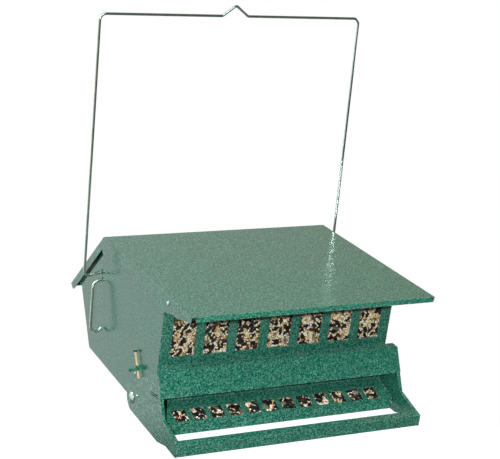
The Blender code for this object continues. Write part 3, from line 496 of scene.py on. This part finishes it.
def throwSmall(draw, box, look, covered, reach):
    left, right, low, high = box
    pitch, jitter = look["pitch"], look["jitter"]
    rowShare, bucket = latticeLook["rowShare"], latticeLook["bucket"]
    spots = []
    grid = {}
    for _, _, parts in covered:
        for part in parts:
            grid.setdefault((round(part.x / bucket), round(part.y / bucket)), []).append(part)
    rowCount = int((high - low) / (pitch * rowShare))
    columnCount = int((right - left) / pitch)
    for row in range(rowCount + 1):
        for column in range(columnCount + 1):
            x = left + (column + 0.5 * (row % 2)) * pitch + draw.uniform(-jitter, jitter)
            y = low + row * pitch * rowShare + draw.uniform(-jitter, jitter)
            here = Vector((x, y))
            keys = [
                (round(x / bucket) + i, round(y / bucket) + j) for i in (-1, 0, 1) for j in (-1, 0, 1)
            ]
            if all((here - part).length > reach for key in keys for part in grid.get(key, ())):
                spots.append(here)
    return spots


def lieFlat(draw, turn, tilt):
    return Euler((draw.gauss(0.0, tilt), draw.gauss(0.0, tilt), turn))


# A small seed lies any way round, and leans as it falls
grainLie = {"turn": 3.1, "tilt": 0.6}


def layGrain(draw, at, sizes):
    lie = lieFlat(draw, draw.uniform(0.0, grainLie["turn"]), grainLie["tilt"])
    return at, lie, draw.uniform(*sizes), draw.random()


# Long seeds behind a sheet, each just off its back, as black hulls and pale kernels
def layBehindSheet(draw, look, long):
    hulls, kernels = [], []
    for middle, turn, _ in long:
        kernel = draw.random() < look["kernelShare"]
        size = draw.uniform(*look["longSize"])
        thick = seedShape["kernel" if kernel else "sunflower"]["size"][2] * size / 2.0
        at = Vector((middle.x, middle.y, -look["sheetBack"] - thick - draw.uniform(*look["longSink"])))
        entry = (at, lieFlat(draw, turn, look["longTilt"]), size, draw.random())
        (kernels if kernel else hulls).append(entry)
    return hulls, kernels


# Seed behind the windows: it presses on the back of the pane, so its front is nearly flat
windowSeed = {
    "seed": 11, "across": 143.5, "low": 52.0, "high": 122.0, "sheetBack": 2.9,
    "throws": 16000, "share": 0.32, "clumping": 2.0, "clumpSlice": 3.7, "gap": 3.9,
    "kernelShare": 0.10, "longSize": (0.78, 1.05), "longSink": (0.3, 1.4), "longTilt": 0.12,
    "pitch": 2.75, "jitter": 0.55, "grainSize": (0.85, 1.15), "grainSink": 0.9,
    "layers": [{"depth": 1.3, "reach": 2.1, "skip": 0.12}, {"depth": 2.9, "reach": 1.2, "skip": 0.27}],
}
windowBed = sheetAxes(*layout["windowFoot"], 90.0 - layout["windowLean"])


def fillWindows():
    look = windowSeed
    draw = random.Random(look["seed"])
    box = (-look["across"], look["across"], look["low"], look["high"])
    long = throwLong(draw, box, look)
    hulls, kernels = layBehindSheet(draw, look, long)
    pourSeed("window_sunflower", "sunflower", windowBed, hulls)
    pourSeed("window_kernel", "kernel", windowBed, kernels)
    for number, layer in enumerate(look["layers"]):
        grains = []
        for here in throwSmall(draw, box, look, long, layer["reach"]):
            if draw.random() < layer["skip"]:
                continue
            deep = -look["sheetBack"] - layer["depth"] - draw.uniform(0.0, look["grainSink"])
            grains.append(layGrain(draw, Vector((here.x, here.y, deep)), look["grainSize"]))
        pourSeed("window_millet_%d" % number, "millet", windowBed, grains)
    print("window seed:", len(hulls), "hulls,", len(kernels), "kernels,", len(grains), "grains behind")


fillWindows()

# Seed under the ports of the tray, mostly black hulls and pale kernels
portSeed = {
    "seed": 23, "across": 146.0, "low": -34.2, "high": -9.0, "sheetBack": 1.2,
    "throws": 12000, "share": 1.0, "clumping": 0.0, "clumpSlice": 9.1, "gap": 3.7,
    "kernelShare": 0.16, "longSize": (0.85, 1.1), "longSink": (0.2, 1.2), "longTilt": 0.10,
    "pitch": 2.7, "jitter": 0.6, "grainSize": (0.85, 1.15), "grainSink": 1.8, "grainDepth": 2.0,
    "reach": 2.0,
}
portBed = sheetAxes(*layout["windowFoot"], 180.0 - layout["portSlope"])


def fillPorts():
    look = portSeed
    draw = random.Random(look["seed"])
    box = (-look["across"], look["across"], look["low"], look["high"])
    long = throwLong(draw, box, look)
    hulls, kernels = layBehindSheet(draw, look, long)
    pourSeed("port_sunflower", "sunflower", portBed, hulls)
    pourSeed("port_kernel", "kernel", portBed, kernels)
    grains = []
    for here in throwSmall(draw, box, look, long, look["reach"]):
        deep = -look["sheetBack"] - look["grainDepth"] - draw.uniform(0.0, look["grainSink"])
        grains.append(layGrain(draw, Vector((here.x, here.y, deep)), look["grainSize"]))
    pourSeed("port_millet", "millet", portBed, grains)
    print("port seed:", len(hulls), "hulls,", len(kernels), "kernels,", len(grains), "grains")


fillPorts()

# Seed packed out of sight behind the first layers: a closed slab behind the windows and one under the ports
# Seen through the gaps between the seeds in front, the slabs' dark colour also stands in for the shade
# there.
slabs = {
    "window_bed": {"bed": windowBed, "across": 143.0, "span": (52.0, 121.0), "depth": (7.0, 12.0)},
    "port_bed": {"bed": portBed, "across": 150.0, "span": (-34.0, -8.0), "depth": (5.2, 9.0)},
}


def addSlabs():
    for name, look in slabs.items():
        low, high = look["span"]
        near, far = look["depth"]
        bm = bmesh.new()
        bmesh.ops.create_cube(bm, size=1.0)
        bmesh.ops.scale(bm, verts=bm.verts, vec=(look["across"] * 2.0, high - low, far - near))
        bmesh.ops.translate(bm, verts=bm.verts, vec=(0.0, (low + high) / 2.0, -(near + far) / 2.0))
        bmesh.ops.transform(bm, matrix=look["bed"], verts=bm.verts)
        piece = addPiece(name, bm, packed, False)
        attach(piece, "hopper")
    print("packed slabs are in")


addSlabs()

# Heap of seed that shows when the roof is lifted, highest in the middle and lowest at the rear wall. Each
# roll of its surface has a width, a height and a slice of the noise.
heapSeed = {
    "seed": 37, "across": 151.0, "rear": -20.0, "front": 251.0, "crest": 115.0, "level": 99.0,
    "rearDrop": 29.0, "frontDrop": 11.0, "sideDrop": 3.0, "rolls": [(24.0, 1.8, 1.3), (5.0, 0.5, 7.9)],
    "throws": 5000, "share": 0.5, "clumping": 1.0, "clumpSlice": 5.2, "gap": 4.6,
    "kernelShare": 0.2, "longSize": (0.8, 1.05), "longLift": (0.2, 1.4), "longTilt": 0.22,
    "pitch": 4.1, "jitter": 1.4, "grainSize": (0.9, 1.2), "grainLift": (0.2, 0.9), "reach": 1.8,
    "depth": 12.0, "segments": (60, 54),
}
heapBed = sheetAxes(0.0, 0.0, 180.0)


def heapLevel(x, y):
    look = heapSeed
    run = -y - look["crest"]
    if run > 0:
        drop = look["frontDrop"] * (run / (look["front"] - look["crest"])) ** 2
    else:
        drop = look["rearDrop"] * (run / (look["crest"] - look["rear"])) ** 2
    drop += look["sideDrop"] * (x / look["across"]) ** 4
    roll = sum(
        noise.noise(Vector((x / wide, y / wide, cut))) * height for wide, height, cut in look["rolls"]
    )
    return look["level"] - drop + roll


# Closed slab under the heap's single seeds, with the heap's own level for its top
def addHeapBed():
    look = heapSeed
    bm = bmesh.new()
    bmesh.ops.create_grid(bm, x_segments=look["segments"][0], y_segments=look["segments"][1], size=0.5)
    bmesh.ops.scale(bm, verts=bm.verts, vec=(look["across"] * 2.0, look["front"] - look["rear"], 1.0))
    bmesh.ops.translate(bm, verts=bm.verts, vec=(0.0, -(look["front"] + look["rear"]) / 2.0, 0.0))
    top = list(bm.faces)
    moved = bmesh.ops.extrude_face_region(bm, geom=top)["geom"]
    crown = [item for item in moved if isinstance(item, bmesh.types.BMVert)]
    for corner in bm.verts:
        corner.co.z = heapLevel(corner.co.x, corner.co.y) - look["depth"]
    for corner in crown:
        corner.co.z += look["depth"]
    bmesh.ops.recalc_face_normals(bm, faces=bm.faces)
    bmesh.ops.transform(bm, matrix=heapBed, verts=bm.verts)
    piece = addPiece("heap_bed", bm, packed)
    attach(piece, "hopper")


def fillHeap():
    look = heapSeed
    draw = random.Random(look["seed"])
    box = (-look["across"], look["across"], -look["front"], -look["rear"])
    long = throwLong(draw, box, look)
    hulls, kernels, grains = [], [], []
    for middle, turn, _ in long:
        kernel = draw.random() < look["kernelShare"]
        level = heapLevel(middle.x, middle.y) + draw.uniform(*look["longLift"])
        lie = lieFlat(draw, turn, look["longTilt"])
        entry = (Vector((middle.x, middle.y, level)), lie, draw.uniform(*look["longSize"]), draw.random())
        (kernels if kernel else hulls).append(entry)
    for here in throwSmall(draw, box, look, long, look["reach"]):
        level = heapLevel(here.x, here.y) + draw.uniform(*look["grainLift"])
        grains.append(layGrain(draw, Vector((here.x, here.y, level)), look["grainSize"]))
    pourSeed("heap_sunflower", "sunflower", heapBed, hulls)
    pourSeed("heap_kernel", "kernel", heapBed, kernels)
    pourSeed("heap_millet", "millet", heapBed, grains)
    addHeapBed()
    print("heap seed:", len(hulls), "hulls,", len(kernels), "kernels,", len(grains), "grains")


fillHeap()


# A copy of a part's mesh, with its loose triangles merged where corners are this near in millimetres
def mergedCopy(name, reach=0.02):
    bm = bmesh.new()
    bm.from_mesh(nodes[name].data)
    bmesh.ops.remove_doubles(bm, verts=bm.verts, dist=reach * mm)
    return bm


def hangSprings():
    for side in sides:
        piece = addPiece("spring_" + side, mergedCopy("counter_spring_" + side), springSteel)
        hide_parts("counter_spring_" + side)
        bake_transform(piece)


hangSprings()

# Bends and turned heads are round, so merged copies with smooth sides stand for their faceted solids. The
# wire's long straight runs keep the solid's facets, so that a whole side of it catches the lamp at once.
smoothing = {"sharpAngle": 50.0, "straightRun": 60.0}


def smoothPlated():
    for name in [name for name in nodes if name.startswith(zincNodes)]:
        bm = mergedCopy(name)
        for edge in bm.edges:
            edge.smooth = edge.calc_face_angle(0.0) < math.radians(smoothing["sharpAngle"])
        longest = [max(edge.calc_length() for edge in face.edges) for face in bm.faces]
        piece = addPiece("plated_" + name, bm, zinc)
        for face, length in zip(piece.data.polygons, longest):
            face.use_smooth = length < smoothing["straightRun"] * mm
        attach(piece, "hopper")
        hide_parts(name)
    print("wire and turned heads are smooth")


smoothPlated()

# Domed heads: the rivet that fixes the seed slide to the side panel, and the pin at the spring's foot
domes = {
    "slide_rivet": {
        "place": (165.5, -3.2), "out": layout["panelOut"], "radius": 2.25, "height": 1.3, "body": "hopper",
    },
    "arm_pin": {
        "place": layout["springFoot"], "out": layout["armOut"], "radius": 1.9, "height": 2.2,
        "body": "shield_perch",
    },
}


# Upper half of a ball one unit in radius, closed underneath
def halfBall(merge=0.001):
    bm = bmesh.new()
    bmesh.ops.create_uvsphere(bm, u_segments=24, v_segments=16, radius=1.0)
    whole = bm.verts[:] + bm.edges[:] + bm.faces[:]
    bmesh.ops.bisect_plane(
        bm, geom=whole, dist=merge, plane_co=(0, 0, 0), plane_no=(0, 0, 1), clear_inner=True,
    )
    bmesh.ops.remove_doubles(bm, verts=bm.verts, dist=merge)
    bmesh.ops.holes_fill(bm, edges=bm.edges, sides=0)
    return bm


def addDomes():
    for kind, look in domes.items():
        for side, way in sides.items():
            bm = halfBall()
            bmesh.ops.scale(bm, verts=bm.verts, vec=(look["radius"], look["radius"], look["height"]))
            bmesh.ops.scale(bm, verts=bm.verts, vec=(mm, mm, mm))
            bmesh.ops.rotate(bm, verts=bm.verts, matrix=Matrix.Rotation(way * math.radians(90.0), 3, "Y"))
            bmesh.ops.translate(bm, verts=bm.verts, vec=spot(way * look["out"], *look["place"]))
            bmesh.ops.recalc_face_normals(bm, faces=bm.faces)
            piece = addPiece(kind + "_" + side, bm, zinc)
            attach(piece, look["body"])
    print("domed heads are in")


addDomes()

# Short matt black sleeve near the top of each spring, in line with it
sleeve = {"standOff": 3.1, "down": 2.6, "radius": 2.2, "length": 2.6, "round": 0.4, "segments": 24}


def addSleeves():
    radius = sleeve["radius"] * mm
    for side, way in sides.items():
        across = way * (layout["panelOut"] + sleeve["standOff"])
        top, foot = spot(across, *layout["springTop"]), spot(across, *layout["springFoot"])
        along = (foot - top).normalized()
        bm = bmesh.new()
        bmesh.ops.create_cone(
            bm, cap_ends=True, segments=sleeve["segments"], radius1=radius, radius2=radius,
            depth=sleeve["length"] * mm,
        )
        rims = [edge for edge in bm.edges if edge.verts[0].co.z * edge.verts[1].co.z > 0.0]
        bmesh.ops.bevel(
            bm, geom=rims, offset=sleeve["round"] * mm, segments=2, profile=0.5, affect="EDGES",
            material=-1,
        )
        turn = along.to_track_quat("Z", "Y").to_matrix().to_4x4()
        bmesh.ops.transform(
            bm, matrix=Matrix.Translation(top + along * sleeve["down"] * mm) @ turn, verts=bm.verts,
        )
        piece = addPiece("spring_sleeve_" + side, bm, mattBlack)
        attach(piece, "hopper")
    print("spring sleeves are on")


addSleeves()

# Camera at the photograph's place, in the side view's millimetres, with its own three axes
view = {
    "place": (-763.6, 1704.6, 359.8),
    "right": (0.8959, -0.44424, 0.0),
    "up": (0.04997, 0.10078, 0.99364),
    "back": (-0.44142, -0.89021, 0.11249),
    "lens": 99.36,
    "sensor": 36.0,
    "farthest": 100.0,
}


def addCamera():
    data = bpy.data.cameras.new("photoView")
    data.lens = view["lens"]
    data.sensor_width = view["sensor"]
    data.sensor_fit = "HORIZONTAL"
    data.clip_end = view["farthest"]
    camera = bpy.data.objects.new("photoView", data)
    axes = Matrix((view["right"], view["up"], view["back"])).transposed()
    camera.matrix_world = Matrix.Translation(spot(*view["place"])) @ axes.to_4x4()
    bpy.context.scene.collection.objects.link(camera)
    bpy.context.scene.camera = camera


# White room. What is seen directly or through glass is white. What gloss mirrors is white towards the
# bright wall at the rear left, and a warm, darker tone away from it. The light that falls on the object
# is soft and comes mostly from above.
room = {
    "brightWall": (-0.63, 0.66, 0.41), "glossMiddle": 0.24, "glossSwing": 1.20, "glossRange": (0.04, 1.25),
    "glossStops": [(0.45, "FFE9CB"), (1.0, "F8FCFA")], "skyLevel": 0.05, "skyRise": 0.24,
}


def addRoom():
    world = bpy.data.worlds.new("whiteRoom")
    world.use_nodes = True
    tree = world.node_tree
    tree.nodes.clear()
    path = addNode(tree, "ShaderNodeLightPath")
    direction = addNode(tree, "ShaderNodeTexCoord").outputs["Generated"]
    facing = addNode(
        tree, "ShaderNodeVectorMath", {"operation": "DOT_PRODUCT", 1: room["brightWall"]}, {0: direction},
    ).outputs["Value"]
    swung = addNode(
        tree, "ShaderNodeMath",
        {"operation": "MULTIPLY_ADD", 1: room["glossSwing"], 2: room["glossMiddle"]}, {0: facing},
    ).outputs["Value"]
    low, high = room["glossRange"]
    held = addNode(tree, "ShaderNodeClamp", {"Min": low, "Max": high}, {"Value": swung}).outputs["Result"]
    height = addNode(tree, "ShaderNodeSeparateXYZ", links={"Vector": direction}).outputs["Z"]
    above = addNode(tree, "ShaderNodeMath", {"operation": "MAXIMUM", 1: 0.0}, {0: height}).outputs["Value"]
    soft = addNode(
        tree, "ShaderNodeMath", {"operation": "MULTIPLY_ADD", 1: room["skyRise"], 2: room["skyLevel"]},
        {0: above},
    ).outputs["Value"]
    gloss = addNode(
        tree, "ShaderNodeMix", {"data_type": "FLOAT"}, {0: path.outputs["Is Glossy Ray"], 2: soft, 3: held},
    ).outputs[0]
    seen = addNode(
        tree, "ShaderNodeMath", {"operation": "MAXIMUM"},
        {0: path.outputs["Is Camera Ray"], 1: path.outputs["Is Transmission Ray"]},
    ).outputs["Value"]
    level = addNode(tree, "ShaderNodeMix", {"data_type": "FLOAT", 3: 1.0}, {0: seen, 2: gloss}).outputs[0]
    cast = addNode(tree, "ShaderNodeValToRGB", {"stops": room["glossStops"]}, {"Fac": held})
    tint = addNode(
        tree, "ShaderNodeMix", {"data_type": "RGBA", 6: colour("FFFFFF")},
        {0: path.outputs["Is Glossy Ray"], 7: cast.outputs["Color"]},
    ).outputs[2]
    sky = addNode(tree, "ShaderNodeBackground", links={"Color": tint, "Strength": level})
    addNode(tree, "ShaderNodeOutputWorld", links={"Surface": sky.outputs["Background"]})
    bpy.context.scene.world = world


# Matt white paper floor. The white is a glow that only the camera and what looks through glass see. Its
# own colour is a mid grey, so it keeps the object's shadow and throws little light back up.
floorLook = {"drop": 260.0, "size": 1.7, "glow": 0.96, "tint": "8C8C8C", "roughness": 0.9}


def makePaper():
    material, tree, shader = newMaterial("matt_white_paper")
    path = addNode(tree, "ShaderNodeLightPath")
    seen = addNode(
        tree, "ShaderNodeMath", {"operation": "MAXIMUM"},
        {0: path.outputs["Is Camera Ray"], 1: path.outputs["Is Transmission Ray"]},
    ).outputs["Value"]
    glow = addNode(tree, "ShaderNodeMath", {"operation": "MULTIPLY", 1: floorLook["glow"]}, {0: seen})
    tree.links.new(glow.outputs["Value"], shader.inputs["Emission Strength"])
    shader.inputs["Base Color"].default_value = colour(floorLook["tint"])
    shader.inputs["Roughness"].default_value = floorLook["roughness"]
    shader.inputs["Specular IOR Level"].default_value = 0.0
    shader.inputs["Emission Color"].default_value = colour("FFFFFF")
    return material


def addFloor():
    bm = bmesh.new()
    bmesh.ops.create_grid(bm, x_segments=1, y_segments=1, size=floorLook["size"] / 2)
    low = cadBox[0][2] - floorLook["drop"] * mm
    bmesh.ops.translate(bm, verts=bm.verts, vec=(0.0, 0.0, low))
    floor = addPiece("studioFloor", bm, makePaper(), False)


# Lamps, in the side view's millimetres, with their width in metres and their power in watts. The key lamp
# is small and stands beside the camera, as a flash does, and the others are wide and soft.
lamps = {
    "keyLamp": {"place": (-900, 1650, 402), "aim": (0, 200, 20), "size": 0.05, "power": 23.5},
    "topLamp": {"place": (-450, 1600, 1100), "aim": (0, 200, 20), "size": 1.0, "power": 13.5},
    "rimLamp": {"place": (-1200, -700, 1150), "aim": (0, 150, 40), "size": 0.6, "power": 9.0},
    "fillLamp": {"place": (1500, -200, 700), "aim": (0, 100, 40), "size": 1.2, "power": 8.0},
}


def addLamps():
    for name, look in lamps.items():
        data = bpy.data.lights.new(name, "AREA")
        data.shape = "DISK"
        data.size = look["size"]
        data.energy = look["power"]
        lamp = bpy.data.objects.new(name, data)
        start, end = spot(*look["place"]), spot(*look["aim"])
        turn = (end - start).to_track_quat("-Z", "Y").to_matrix().to_4x4()
        lamp.matrix_world = Matrix.Translation(start) @ turn
        bpy.context.scene.collection.objects.link(lamp)


addCamera()
addRoom()
addFloor()
addLamps()
bpy.context.scene.view_settings.view_transform = "Standard"
print("camera, backdrop and lights are set")
